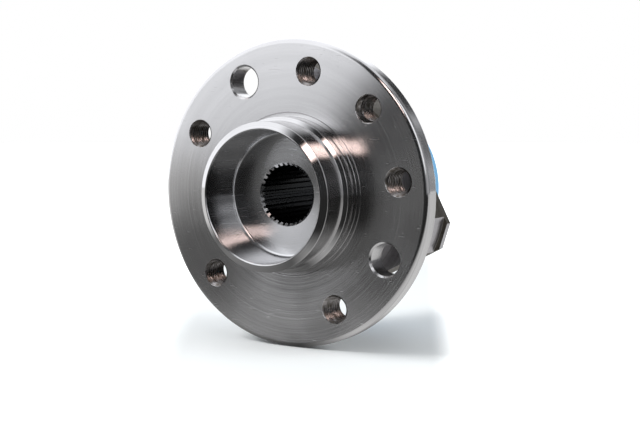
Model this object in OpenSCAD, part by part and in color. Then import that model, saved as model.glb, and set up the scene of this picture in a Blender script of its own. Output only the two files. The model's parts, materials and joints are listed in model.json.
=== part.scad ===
// Driven front wheel hub with double-row ball bearing and speed sensor.
// Every module draws about its own spin axis: z = 0 is the wheel face of the flange, the
// pilot spigot points to +z and the knuckle side to -z. on_axis() lays that axis along Y,
// so the finished part faces -Y and stands upright on +Z.

/* [Flange] */
// Diameter of the wheel flange
flange_d = 137; // [134:1:144]
// Thickness of the flange at its rim
rim_t = 7.7; // [7:0.1:9]
// Thickness of the flange inside the rim
web_t = 10.5; // [10:0.5:11.5]
// Width of the sloping back between rim and web
rim_slope = 3.5; // [2:0.5:4]
// Bevel on the edges of the rim
rim_bevel = 1.15; // [0.6:0.05:1.5]
// Distance from the flange root forward to the back of the bolt bosses
boss_setback = 0.7; // [0.5:0.1:1.5]
// Diameter of a bolt boss
boss_d = 21; // [19:0.5:22]
// Height and width of the sloping foot round a bolt boss
boss_foot = 1.2; // [0.6:0.1:1.5]
// Width of the flange root outside the seal seat
root_margin = 3; // [2:0.5:3.5]

/* [Bolt circle] */
// Number of wheel bolts
bolt_count = 5; // [4, 5]
// Distance from the rim in to the wheel bolt circle
bolt_inset = 13.5; // [12.5:0.5:14.5]
// Angle of the first wheel bolt
bolt_angle = 7.4; // [0:0.1:20]
// Core diameter of the wheel bolt thread
bolt_core_d = 10.5; // [10:0.1:11]
// Mouth diameter of a wheel bolt hole
bolt_mouth_d = 12.6; // [12:0.1:13]
// Diameter of the access holes for the knuckle bolts
access_d = 14; // [13:0.5:15]
// Depth of the bevel at the mouth of an access hole
access_bevel = 0.7; // [0.4:0.1:1]
// Diameter of the smooth entry of the disc screw hole
screw_entry_d = 11.8; // [11:0.1:12.4]
// Depth of the smooth entry of the disc screw hole
screw_entry_depth = 5; // [3:0.5:6]
// Core diameter of the disc screw hole
screw_core_d = 10; // [9:0.1:10.4]

/* [Pilot spigot] */
// Length of the spigot in front of the wheel face
spigot_len = 22.5; // [20:0.5:26]
// Diameter of the brake disc pilot
disc_pilot_d = 68.7; // [66:0.1:70]
// Length of the brake disc pilot in front of the wheel face
disc_pilot_len = 7; // [6:0.5:8]
// Step from the brake disc pilot in to the wheel pilot
pilot_step = 1.85; // [1.5:0.05:2.2]
// Length of the sloping lip at the front of the wheel pilot
pilot_lead = 1.6; // [1.2:0.1:2.2]
// Width of the relief groove round the foot of the spigot
relief_w = 1.7; // [1:0.1:2.2]
// Depth of the relief groove
relief_depth = 0.5; // [0.3:0.1:0.8]
// Wall of the spigot at the mouth of the cup
cup_wall = 3.5; // [3:0.1:4.5]
// How much narrower the cup is at its floor, on each side
cup_taper = 1.2; // [0.6:0.1:1.8]
// Height of the cup floor above the wheel face, at the wall
cup_floor_z = 2.3; // [2:0.1:4]
// Drop of the cup floor towards the spline
cup_dish = 0.6; // [0.3:0.1:1.5]
// Bevel at the mouth of the cup
cup_bevel = 0.4; // [0.2:0.1:0.6]

/* [Spline] */
// Number of spline teeth
spline_teeth = 33; // [30:1:36]
// Depth of the spline grooves
spline_depth = 1; // [0.9:0.05:1.2]
// Wall of the shaft between spline and inner ring
shaft_wall = 5.55; // [5:0.05:6]
// Depth of the lead-in cone at each end of the spline
spline_lead = 1; // [0.6:0.1:1.4]

/* [Bearing rows] */
// Pitch diameter of both ball rows
pitch_d = 59; // [59:0.5:62]
// Ball diameter
ball_d = 12.7; // [12:0.1:12.8]
// Balls in each row
ball_count = 13; // [11:1:13]
// Distance from the wheel face to the outboard row
row_setback = 29.5; // [28:0.5:32]
// Distance between the rows
row_spacing = 20; // [19:0.5:23]
// Clearance between a ball and its groove or pocket
ball_gap = 0.2; // [0.1:0.05:0.25]
// Drop from the pitch circle to the seal lands
land_drop = 2; // [1.6:0.1:2.4]
// Drop from the pitch circle to the shaft between the inner races
low_drop = 5.5; // [5:0.1:5.8]
// Rise from the pitch circle to the rib between the outer races
rib_rise = 2.5; // [2.3:0.1:3]
// Rise from the pitch circle to the outer ring's bore beside its races
bore_rise = 5.5; // [5:0.1:5.8]
// Wall of the pressed inner ring under its low shoulder
press_wall = 4.5; // [4:0.1:5]

/* [Cages] */
// Play between a cage and the seal lands
cage_inner_play = 0.7; // [0.5:0.05:1]
// Play between a cage and the outer rib
cage_outer_play = 0.8; // [0.5:0.05:1.2]
// Depth of the cage claws past the ball centres
claw_reach = 2.6; // [2:0.1:3]
// Ring of a cage behind its balls
cage_ring_t = 1.25; // [1:0.05:1.5]

/* [Outer ring] */
// Play between the balls and the seals beside them
seal_play = 0.85; // [0.7:0.05:1.5]
// Gap between the flange side slinger and the front of the outer ring
ring_gap = 1.5; // [1.2:0.1:2]
// Wall of the outer ring round the outboard seal
nose_wall = 4; // [3.5:0.5:6]
// Length of the outer ring in front of its lugs
nose_len = 4.5; // [3.5:0.5:6]
// Distance from the middle of the rows back to the knuckle seat
seat_shift = 0.5; // [0:0.5:2]
// Step from the knuckle pilot out to the lug plate
plate_step = 5.6; // [4:0.1:6.5]
// Step from the cap seat out to the knuckle pilot
pilot_rise = 2.5; // [2:0.5:3.5]
// Wall of the outer ring round the inboard seal
cap_seat_wall = 3.5; // [3:0.1:4]
// Length of the seat that carries the sensor cap
cap_seat_len = 7.5; // [7:0.5:9]

/* [Lugs] */
// Number of lugs
lug_count = 3; // [3, 4]
// Angle of the first lug
lug_angle = -18; // [-30:1:0]
// Distance from the knuckle pilot out to the knuckle bolts
knuckle_bolt_out = 9; // [8:0.5:10]
// Reach of a lug beyond its bolt
lug_beyond = 10.3; // [9.5:0.1:12]
// Width of the flat end of a lug
lug_end_w = 12.1; // [10:0.1:16]
// How far the front of a lug end is turned down
lug_turned = 1.8; // [1:0.1:2.4]
// Thickness of the unturned back of a lug end
lug_lip_t = 3.5; // [2.5:0.1:5]
// Bevel at the front of the turned lugs
lug_bevel = 1.5; // [0.8:0.1:2.5]
// Core diameter of the knuckle bolt thread
knuckle_core_d = 10.5; // [10:0.1:11]

/* [Seals] */
// Step from the outer ring's bore out to the seal seats
seal_step = 1; // [0.6:0.1:1.4]
// Sheet thickness of seal cases and slingers
sheet_t = 0.8; // [0.6:0.05:1]
// Length of a seal case
seal_len = 4.8; // [4.6:0.1:6]
// Gap between a seal lip and the slinger it wipes
lip_gap = 0.2; // [0.15:0.05:0.3]
// Thickness of a seal lip
lip_t = 0.6; // [0.5:0.05:0.7]
// Thickness of the magnetic encoder ring
encoder_t = 1.2; // [1:0.1:1.4]
// Height of the rolled collar behind the inner ring
collar_len = 4; // [3:0.1:4.4]
// How far the rolled collar stands out over the inner ring
collar_rise = 5; // [3.5:0.5:5.5]

/* [Sensor cap] */
// Thickness of the cap's skirt over its sleeve
cap_skirt_t = 1; // [0.8:0.1:1.4]
// Gap between the rolled collar and the opening in the cap
cap_opening_gap = 2; // [1.5:0.1:2.5]
// Distance from the encoder to the inside of the cap floor
cap_room = 3.5; // [3.2:0.1:4]
// Thickness of the cap floor
cap_floor_t = 2.5; // [2:0.1:3]
// Radius of the rear edge of the cap
cap_edge_r = 3; // [1.5:0.1:3.2]
// Wall thickness of the collar round the opening
cap_collar_t = 1.8; // [1.4:0.1:2]
// Width of the ledge inside the cap that rests on the sleeve
cap_ledge_w = 2.8; // [2:0.1:3.2]
// Depth of the shallow recess round the back of the cap
cap_recess = 0.4; // [0.2:0.1:0.6]
// Depth of the O-ring groove under the sleeve
o_ring_depth = 1.3; // [1:0.1:1.5]
// Width of the O-ring groove
o_ring_w = 2; // [1.6:0.1:2.4]
// Air gap between sensor head and encoder
air_gap = 0.6; // [0.5:0.05:0.9]

/* [Connector] */
// Angle of the sensor and its connector
sensor_angle = 180; // [140:1:200]
// Distance from the rim of the encoder in to the middle of the sensor
sensor_inset = 1.2; // [0.8:0.1:1.6]
// Width of the connector
plug_w = 15; // [13:0.5:18]
// Height of the connector
plug_h = 10.4; // [9.6:0.1:10.8]
// Length of the connector behind its base
plug_len = 15; // [13:0.5:18]
// Wall of the connector
plug_wall = 1.4; // [1:0.1:1.6]
// Thickness of the connector base
plug_base_t = 2.4; // [2:0.1:3]
// Width of a contact pin
pin_w = 1.5; // [1:0.1:1.8]
// Thickness of a contact pin
pin_t = 0.8; // [0.6:0.1:1]
// Distance from the connector's mouth in to the tips of the contact pins
pin_setback = 5; // [4.5:0.5:6]
// Distance between the contact pins
pin_pitch = 5; // [4:0.1:5.4]

/* [Hidden] */
$fn = 96;

// Small overlap that keeps cuts from ending on a face
cut = 1;

// Sensor head and the chip in its face
head_w = 8;
head_h = 5.6;
head_play = 0.05;
chip_w = 4.2;
chip_h = 3.2;
chip_t = 1;

// How deep the contact pins are held, and how the O-ring sits in its groove
pin_root = 3;
o_ring_play = 0.03;
o_ring_setback = 4;

// Bevels and fillets of the turned pieces
fine_bevel = 0.4;
seat_bevel = 0.5;
shoulder_bevel = 0.6;
ring_bevel = 1;
nose_fillet = 1.6;
cup_fillet = 1.2;
root_fillet = 1.5;
root_slope_w = 6;
step_slope = 0.85;
lip_flat = 0.3;
groove_flare = 0.35;

// Spline teeth: clearance of the lead-in cones, half widths as parts of the tooth step
spline_clear = 0.2;
tooth_foot = 0.30;
tooth_tip = 0.17;

// Rolled collar: height of its straight edge, width of its sloping back and of its crown
collar_edge = 1;
collar_round = 0.5;
collar_slope = 1.4;
collar_crown = 3;

// Seals: gap round a slinger, radial room for the lips and their lean
slinger_gap = 0.4;
slinger_setback = 0.3;
case_room = 2.2;
lip_room = 1.2;
lip_lean = 1;
lip_offset = 1.4;

// Cap: setbacks of its skirt and of the sleeve under it, room in front of the collar
skirt_setback = 0.6;
skirt_bevel = 0.3;
sleeve_setback = 0.3;
opening_room = 1.6;

// Hub diameters, from the rim and the disc pilot inwards
bolt_circle_d = flange_d - 2 * bolt_inset;
wheel_pilot_d = disc_pilot_d - 2 * pilot_step;
cup_mouth_d = wheel_pilot_d - 2 * cup_wall;
cup_floor_d = cup_mouth_d - 2 * cup_taper;

// Race diameters, from the pitch circle inwards and outwards
land_d = pitch_d - 2 * land_drop;
low_shoulder_d = pitch_d - 2 * low_drop;
press_d = low_shoulder_d - 2 * press_wall;
spline_major_d = press_d - 2 * shaft_wall;
spline_minor_d = spline_major_d - 2 * spline_depth;
collar_d = press_d + 2 * collar_rise;
rib_d = pitch_d + 2 * rib_rise;
outer_bore_d = pitch_d + 2 * bore_rise;
cage_inner_d = land_d + 2 * cage_inner_play;
cage_outer_d = rib_d - 2 * cage_outer_play;
cage_back = ball_d / 2 + cage_ring_t;

// Outer ring diameters, from the bore outwards
seal_seat_d = outer_bore_d + 2 * seal_step;
root_d = seal_seat_d + 2 * root_margin;
ring_nose_d = seal_seat_d + 2 * nose_wall;
cap_seat_d = seal_seat_d + 2 * cap_seat_wall;
cap_d = cap_seat_d + 2 * sheet_t + 2 * cap_skirt_t;
cap_opening_d = collar_d + 2 * cap_opening_gap;
knuckle_pilot_d = cap_seat_d + 2 * pilot_rise;
plate_d = knuckle_pilot_d + 2 * plate_step;
knuckle_circle_d = knuckle_pilot_d + 2 * knuckle_bolt_out;
lug_reach = knuckle_circle_d / 2 + lug_beyond;
lug_turned_r = lug_reach - lug_turned;

// Stations along the axis, from the wheel face backwards
flange_r = flange_d / 2;
row_a = -row_setback;
row_b = row_a - row_spacing;
pitch_r = pitch_d / 2;
ball_r = ball_d / 2;
groove_r = ball_r + ball_gap;
land_r = land_d / 2;
press_r = press_d / 2;
ring_split = (row_a + row_b) / 2;
row_margin = ball_r + seal_len + seal_play;
ring_front = row_a + row_margin;
ring_back = row_b - row_margin;
root_t = -ring_front - ring_gap - sheet_t;
boss_t = root_t - boss_setback;
plate_front = ring_front - nose_len;
plate_back = ring_split - seat_shift;
lug_t = plate_front - plate_back;
pilot_end = ring_back + cap_seat_len;
slinger_back = ring_back - sheet_t;
encoder_back = slinger_back - encoder_t;
collar_end = slinger_back - collar_len;
cap_inside = encoder_back - cap_room;
cap_back = cap_inside - cap_floor_t;
plug_root = cap_back - plug_base_t;
plug_end = plug_root - plug_len;
pin_len = plug_len - pin_setback;
half_step = 180 / bolt_count;
screw_angle = bolt_angle + half_step;
head_face = encoder_back - air_gap;

// Radii shared by the seals and the sensor
slinger_r = land_r + sheet_t;
seal_seat_r = seal_seat_d / 2;
case_r = seal_seat_r - sheet_t;
slinger_rim_r = case_r - slinger_gap;
case_wall_r = slinger_r + case_room;
lip_root_r = slinger_r + lip_room;
sensor_r = slinger_rim_r - sensor_inset;

module on_axis() {
  rotate([90, 0, 0]) children();
}

// Solid or hollow turned piece from a profile of [radius, z] points
module turned(profile) {
  rotate_extrude() polygon(profile);
}

// Copies on a circle of radius r
module around(count, first, r) {
  for (i = [0 : count - 1])
    rotate([0, 0, first + i * 360 / count]) translate([r, 0, 0]) children();
}

// Ball groove of one bearing row
module groove(z) {
  translate([0, 0, z]) rotate_extrude() translate([pitch_r, 0]) circle(groove_r);
}

// Through hole of diameter d, bevelled at the wheel face and at its back
module flange_hole(d, mouth, depth) {
  bevel = (mouth - d) / 2;
  translate([0, 0, -boss_t - cut]) cylinder(d = d, h = boss_t + 2 * cut);
  translate([0, 0, -bevel]) cylinder(d1 = d, d2 = mouth + 2 * cut, h = bevel + cut);
  translate([0, 0, -depth - cut]) cylinder(d1 = mouth + 2 * cut, d2 = d, h = bevel + cut);
}

// Outline of the spline bore, one tooth space between each pair of teeth
module spline_outline() {
  step = 360 / spline_teeth;
  tip_r = spline_minor_d / 2;
  root_r = spline_major_d / 2;
  inner_r = tip_r - spline_clear;
  foot_y = inner_r * sin(step * tooth_foot);
  tip_y = root_r * sin(step * tooth_tip);
  circle(tip_r);
  for (i = [0 : spline_teeth - 1])
    rotate([0, 0, i * step])
      polygon([
        [inner_r, -foot_y], [root_r, -tip_y], [root_r, tip_y], [inner_r, foot_y]
      ]);
}

module spline_bore() {
  floor_z = cup_floor_z - cup_dish;
  tip_r = spline_minor_d / 2;
  lead_r = spline_major_d / 2 + spline_clear;
  slope = (lead_r - tip_r) / spline_lead;
  translate([0, 0, collar_end - cut])
    linear_extrude(floor_z - collar_end + 2 * cut) spline_outline();
  translate([0, 0, floor_z - spline_lead])
    cylinder(r1 = tip_r, r2 = lead_r + slope * cut, h = spline_lead + cut);
  translate([0, 0, collar_end - cut])
    cylinder(r1 = lead_r + slope * cut, r2 = tip_r, h = spline_lead + cut);
}

// Spigot, flange and shaft in one turned profile, from the cup round to the shaft end
module hub_blank() {
  pilot_r = wheel_pilot_d / 2;
  disc_r = disc_pilot_d / 2;
  step_z = disc_pilot_len + (disc_r - pilot_r) * step_slope;
  mouth_r = cup_mouth_d / 2;
  wall_r = cup_floor_d / 2;
  dish_r = spline_major_d / 2 + spline_clear;
  fillet_in = cup_fillet * 0.29;
  flange_in_r = flange_r - rim_bevel;
  collar_r = collar_d / 2;
  core_r = spline_minor_d / 2 - cut;
  root_r = root_d / 2;
  low_r = low_shoulder_d / 2;
  turned([
    [core_r, cup_floor_z - cup_dish], [dish_r, cup_floor_z - cup_dish],
    [wall_r - cup_fillet, cup_floor_z], [wall_r - fillet_in, cup_floor_z + fillet_in],
    [wall_r, cup_floor_z + cup_fillet],
    [mouth_r, spigot_len - cup_bevel], [mouth_r + cup_bevel, spigot_len],
    [mouth_r + cup_bevel + lip_flat, spigot_len], [pilot_r, spigot_len - pilot_lead],
    [pilot_r, step_z], [disc_r, disc_pilot_len],
    [disc_r, -relief_depth], [disc_r + relief_w, -relief_depth],
    [disc_r + relief_w + groove_flare, 0],
    [flange_in_r, 0], [flange_r, -rim_bevel],
    [flange_r, -rim_t], [flange_in_r, -rim_t - rim_bevel],
    [flange_in_r - rim_slope, -web_t],
    [root_r + root_slope_w, -web_t], [root_r + root_fillet, -web_t - root_fillet],
    [root_r, -root_t],
    [land_r, -root_t],
    [land_r, row_a], [low_r, row_a],
    [low_r, ring_split],
    [press_r, ring_split],
    [press_r, slinger_back], [collar_r - shoulder_bevel, slinger_back],
    [collar_r, slinger_back - shoulder_bevel],
    [collar_r, slinger_back - shoulder_bevel - collar_edge],
    [collar_r - collar_slope, collar_end + collar_round],
    [collar_r - collar_crown, collar_end],
    [core_r, collar_end]
  ]);
}

// Boss behind a threaded hole, with its sloping foot on the back of the flange
module boss() {
  foot_h = boss_foot + cut;
  translate([0, 0, -boss_t]) cylinder(d = boss_d, h = boss_t - web_t / 2);
  translate([0, 0, -web_t - boss_foot])
    cylinder(d1 = boss_d, d2 = boss_d + 2 * foot_h, h = foot_h);
}

module hub_flange() {
  color([0.62, 0.62, 0.63])
    difference() {
      union() {
        hub_blank();
        around(bolt_count, bolt_angle, bolt_circle_d / 2) boss();
        around(1, screw_angle, bolt_circle_d / 2) boss();
      }
      groove(row_a);
      spline_bore();
      around(bolt_count, bolt_angle, bolt_circle_d / 2)
        flange_hole(bolt_core_d, bolt_mouth_d, boss_t);
      for (side = [-1, 1])
        rotate([0, 0, screw_angle + side * 2 * half_step])
          translate([bolt_circle_d / 2, 0, 0])
            flange_hole(access_d, access_d + 2 * access_bevel, web_t);
      rotate([0, 0, screw_angle]) translate([bolt_circle_d / 2, 0, 0]) {
        flange_hole(screw_core_d, screw_entry_d, boss_t);
        translate([0, 0, -screw_entry_depth])
          cylinder(d = screw_entry_d, h = screw_entry_depth + cut);
      }
    }
}

module inner_ring() {
  low_r = low_shoulder_d / 2;
  color([0.72, 0.72, 0.73])
    difference() {
      turned([
        [press_r, ring_split], [low_r - fine_bevel, ring_split],
        [low_r, ring_split - fine_bevel],
        [low_r, row_b], [land_r, row_b],
        [land_r, slinger_back + fine_bevel], [land_r - fine_bevel, slinger_back],
        [press_r, slinger_back]
      ]);
      groove(row_b);
    }
}

module outboard_slinger() {
  back = -root_t;
  front = ring_front - seal_len + slinger_setback;
  color([0.55, 0.56, 0.58])
    turned([
      [land_r, back], [slinger_rim_r, back], [slinger_rim_r, back - sheet_t],
      [slinger_r, back - sheet_t], [slinger_r, front], [land_r, front]
    ]);
}

module inboard_slinger() {
  front = ring_back + seal_len - slinger_setback;
  color([0.55, 0.56, 0.58])
    turned([
      [land_r, front], [slinger_r, front], [slinger_r, ring_back],
      [slinger_rim_r, ring_back], [slinger_rim_r, slinger_back], [land_r, slinger_back]
    ]);
}

module encoder_ring() {
  color([0.12, 0.12, 0.13])
    turned([
      [slinger_r, slinger_back], [slinger_rim_r, slinger_back],
      [slinger_rim_r, encoder_back], [slinger_r, encoder_back]
    ]);
}

// Straight-flanked lug, its flanks tangent to the lug plate
module lug_outline() {
  half_w = lug_end_w / 2;
  flank_r = plate_d / 2;
  reach_angle = acos(flank_r / norm([lug_reach, half_w])) + atan(half_w / lug_reach);
  polygon([
    [0, 0], [flank_r * cos(reach_angle), -flank_r * sin(reach_angle)],
    [lug_reach, -half_w], [lug_reach, half_w],
    [flank_r * cos(reach_angle), flank_r * sin(reach_angle)]
  ]);
}

// Envelope that turns the front of the lugs down and bevels it
module lug_envelope() {
  lip_z = plate_back + lug_lip_t;
  far_r = norm([lug_reach, lug_end_w / 2]) + cut;
  turned([
    [0, plate_front], [lug_turned_r - lug_bevel, plate_front],
    [lug_turned_r, plate_front - lug_bevel], [lug_turned_r, lip_z],
    [far_r, lip_z], [far_r, plate_back], [0, plate_back]
  ]);
}

module ring_core() {
  nose_r = ring_nose_d / 2;
  pilot_r = knuckle_pilot_d / 2;
  seat_r = cap_seat_d / 2;
  plate_r = plate_d / 2;
  turned([
    [0, ring_front], [nose_r - ring_bevel, ring_front], [nose_r, ring_front - ring_bevel],
    [nose_r, plate_front + nose_fillet], [nose_r + nose_fillet, plate_front],
    [plate_r - ring_bevel, plate_front], [plate_r, plate_front - ring_bevel],
    [plate_r, plate_back], [pilot_r, plate_back],
    [pilot_r, pilot_end + ring_bevel], [pilot_r - ring_bevel, pilot_end],
    [seat_r, pilot_end], [seat_r, ring_back + shoulder_bevel],
    [seat_r - shoulder_bevel, ring_back],
    [0, ring_back]
  ]);
}

// Bore of the outer ring with its seal seats, open at both ends
module ring_bore() {
  bore_r = outer_bore_d / 2;
  rib_r = rib_d / 2;
  seat_r = seal_seat_d / 2;
  mouth_r = seat_r + seat_bevel + cut;
  turned([
    [0, ring_front + cut], [mouth_r, ring_front + cut],
    [seat_r, ring_front - seat_bevel], [seat_r, ring_front - seal_len],
    [bore_r, ring_front - seal_len], [bore_r, row_a], [rib_r, row_a],
    [rib_r, row_b], [bore_r, row_b], [bore_r, ring_back + seal_len],
    [seat_r, ring_back + seal_len], [seat_r, ring_back + seat_bevel],
    [mouth_r, ring_back - cut], [0, ring_back - cut]
  ]);
}

module outer_ring() {
  lug_mouth_d = knuckle_core_d + 2 * ring_bevel;
  color([0.42, 0.40, 0.38])
    difference() {
      union() {
        ring_core();
        intersection() {
          translate([0, 0, plate_back]) linear_extrude(lug_t)
            for (i = [0 : lug_count - 1])
              rotate([0, 0, lug_angle + i * 360 / lug_count]) lug_outline();
          lug_envelope();
        }
      }
      ring_bore();
      groove(row_a);
      groove(row_b);
      around(lug_count, lug_angle, knuckle_circle_d / 2) {
        translate([0, 0, plate_back - cut])
          cylinder(d = knuckle_core_d, h = lug_t + 2 * cut);
        translate([0, 0, plate_back - cut])
          cylinder(d1 = lug_mouth_d + 2 * cut, d2 = knuckle_core_d, h = ring_bevel + cut);
      }
      translate([0, 0, pilot_end - o_ring_setback - o_ring_w / 2]) rotate_extrude()
        translate([cap_seat_d / 2 - o_ring_depth, 0]) square([o_ring_depth + cut, o_ring_w]);
    }
}

module outboard_seal_case() {
  inner = ring_front - seal_len;
  color([0.45, 0.46, 0.48])
    turned([
      [case_r, ring_front], [seal_seat_r, ring_front], [seal_seat_r, inner],
      [case_wall_r, inner], [case_wall_r, inner + sheet_t], [case_r, inner + sheet_t]
    ]);
}

module inboard_seal_case() {
  inner = ring_back + seal_len;
  color([0.45, 0.46, 0.48])
    turned([
      [case_r, ring_back], [seal_seat_r, ring_back], [seal_seat_r, inner],
      [case_wall_r, inner], [case_wall_r, inner - sheet_t], [case_r, inner - sheet_t]
    ]);
}

// Lip profile for a wall at z = 0, wiping a slinger flange at z = height
module lip_profile(height) {
  tip_r = slinger_r + lip_gap;
  top = height - lip_gap;
  face_r = lip_root_r + lip_offset;
  union() {
    polygon([
      [lip_root_r, 0], [case_wall_r, 0], [case_r, 0], [case_r, lip_t],
      [lip_root_r, lip_t]
    ]);
    polygon([
      [lip_root_r, 0], [lip_root_r + lip_t, lip_t], [tip_r + lip_t, lip_t + lip_lean],
      [tip_r, lip_t + lip_lean]
    ]);
    polygon([
      [face_r, lip_t / 2], [face_r + lip_t, lip_t / 2],
      [face_r + lip_lean + lip_t, top], [face_r + lip_lean, top]
    ]);
  }
}

module outboard_seal_lip() {
  wall = ring_front - seal_len + sheet_t;
  color([0.10, 0.10, 0.11])
    translate([0, 0, wall]) rotate_extrude() lip_profile(-root_t - sheet_t - wall);
}

module inboard_seal_lip() {
  wall = ring_back + seal_len - sheet_t;
  color([0.10, 0.10, 0.11])
    translate([0, 0, wall]) mirror([0, 0, 1]) rotate_extrude() lip_profile(wall - ring_back);
}

// Crown cage: a ring behind the balls with claws that reach round them
module cage(z, side) {
  color([0.80, 0.66, 0.42])
    translate([0, 0, z]) difference() {
      mirror([0, 0, side > 0 ? 0 : 1]) translate([0, 0, -cage_back]) difference() {
        cylinder(d = cage_outer_d, h = cage_back + claw_reach);
        translate([0, 0, -cut])
          cylinder(d = cage_inner_d, h = cage_back + claw_reach + 2 * cut);
      }
      around(ball_count, 0, pitch_r) sphere(groove_r);
    }
}

module balls(z) {
  color([0.85, 0.85, 0.87])
    translate([0, 0, z]) around(ball_count, 0, pitch_r) sphere(ball_r);
}

module cap_sleeve() {
  seat_r = cap_seat_d / 2;
  front = pilot_end - sleeve_setback;
  color([0.60, 0.61, 0.63])
    turned([
      [seat_r, front], [seat_r + sheet_t, front], [seat_r + sheet_t, slinger_back],
      [seal_seat_r, slinger_back], [seal_seat_r, ring_back], [seat_r, ring_back]
    ]);
}

// Blue ring that closes the back of the bearing and carries the sensor
module cap_shell() {
  skirt_r = cap_seat_d / 2 + sheet_t;
  outer_r = cap_d / 2;
  open_r = cap_opening_d / 2;
  collar_r = open_r + cap_collar_t;
  wall_r = skirt_r - cap_ledge_w;
  edge_r = skirt_r - cap_edge_r;
  recess_r = collar_r + cap_edge_r;
  front = pilot_end - skirt_setback;
  inner_front = encoder_back - opening_room;
  rotate_extrude() {
    difference() {
      polygon([
        [skirt_r, front], [outer_r - skirt_bevel, front],
        [outer_r, front - skirt_bevel], [outer_r, cap_back],
        [edge_r, cap_back], [edge_r - cap_recess, cap_back + cap_recess],
        [recess_r, cap_back + cap_recess], [recess_r - cap_recess, cap_back],
        [open_r, cap_back], [open_r, inner_front], [collar_r, inner_front],
        [collar_r, cap_inside], [wall_r, cap_inside],
        [wall_r, slinger_back], [skirt_r, slinger_back]
      ]);
      difference() {
        translate([outer_r - cap_edge_r, cap_back - cut])
          square([cap_edge_r + cut, cap_edge_r + cut]);
        translate([outer_r - cap_edge_r, cap_back + cap_edge_r]) circle(cap_edge_r);
      }
    }
  }
}

// Rectangular block about the sensor's radius, from z1 up to z2
module at_sensor(w, h, z1, z2) {
  rotate([0, 0, sensor_angle]) translate([sensor_r - h / 2, -w / 2, z1])
    cube([h, w, z2 - z1]);
}

module sensor_cap() {
  color([0.30, 0.62, 0.85])
    difference() {
      cap_shell();
      at_sensor(head_w + 2 * head_play, head_h + 2 * head_play, cap_back - cut,
                cap_inside + cut);
    }
}

module cap_o_ring() {
  color([0.15, 0.15, 0.15])
    translate([0, 0, pilot_end - o_ring_setback]) rotate_extrude()
      translate([cap_seat_d / 2 - o_ring_depth / 2, 0])
        circle(o_ring_depth / 2 - o_ring_play);
}

// The two flat blades in the connector
module pin_blades() {
  for (side = [-1, 1])
    rotate([0, 0, sensor_angle])
      translate([sensor_r - pin_t / 2, side * pin_pitch / 2 - pin_w / 2,
                 plug_root - pin_len])
        cube([pin_t, pin_w, pin_len + pin_root]);
}

// Ramp on the outer side of the connector that the mating plug snaps over
module latch_ramp() {
  ramp_w = 5;
  ramp_h = 1.3;
  ramp_len = 4;
  ramp_flat = 0.8;
  setback = 2;
  sunk = 0.4;
  rotate([0, 0, sensor_angle])
    translate([sensor_r + plug_h / 2 - sunk, ramp_w / 2, plug_end + setback])
      rotate([90, 0, 0]) linear_extrude(ramp_w)
        polygon([[0, 0], [sunk, 0], [sunk + ramp_h, ramp_len - ramp_flat],
                 [sunk + ramp_h, ramp_len], [0, ramp_len]]);
}

// Two keying ribs that run along each wide side of the connector
module key_ribs() {
  rib_w = 1.2;
  rib_h = 0.7;
  for (side = [-1, 1])
    rotate([0, 0, sensor_angle])
      translate([sensor_r - rib_w / 2, side * plug_w / 2 - rib_h, plug_end])
        cube([rib_w, 2 * rib_h, plug_len]);
}

module sensor_module() {
  foot = 3;
  color([0.14, 0.14, 0.15])
    difference() {
      union() {
        at_sensor(head_w, head_h, plug_root, head_face);
        at_sensor(plug_w + foot, plug_h, plug_root, cap_back);
        at_sensor(plug_w, plug_h, plug_end, cap_back);
        latch_ramp();
        key_ribs();
      }
      at_sensor(plug_w - 2 * plug_wall, plug_h - 2 * plug_wall, plug_end - cut, plug_root);
      at_sensor(chip_w, chip_h, head_face - chip_t, head_face + cut);
      pin_blades();
    }
}

module sensor_chip() {
  color([0.08, 0.08, 0.09]) at_sensor(chip_w, chip_h, head_face - chip_t, head_face);
}

module contact_pins() {
  color([0.80, 0.72, 0.50]) pin_blades();
}

on_axis() hub_flange();
on_axis() inner_ring();
on_axis() outboard_slinger();
on_axis() inboard_slinger();
on_axis() encoder_ring();
on_axis() outer_ring();
on_axis() outboard_seal_case();
on_axis() outboard_seal_lip();
on_axis() inboard_seal_case();
on_axis() inboard_seal_lip();
on_axis() cap_sleeve();
on_axis() sensor_cap();
on_axis() cap_o_ring();
on_axis() sensor_module();
on_axis() sensor_chip();
on_axis() contact_pins();
on_axis() cage(row_a, 1);  // outboard_cage
on_axis() balls(row_a);  // outboard_balls
on_axis() cage(row_b, -1);  // inboard_cage
on_axis() balls(row_b);  // inboard_balls
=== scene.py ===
# %% [markdown]
# # A wheel hub, dressed and lit
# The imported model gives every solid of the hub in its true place. This lesson rebuilds the
# three solids that show most, the hub, the outer ring and the cap, as finer pieces with rounded
# edges and real threads. Then it gives every piece its finish, and lights the hub like a product
# photograph on a white table.
# Lengths are written in millimetres and multiplied by MM, because Blender works in metres.

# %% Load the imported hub
import json
import math

import bmesh
import bpy
from mathutils import Matrix, Vector


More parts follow.
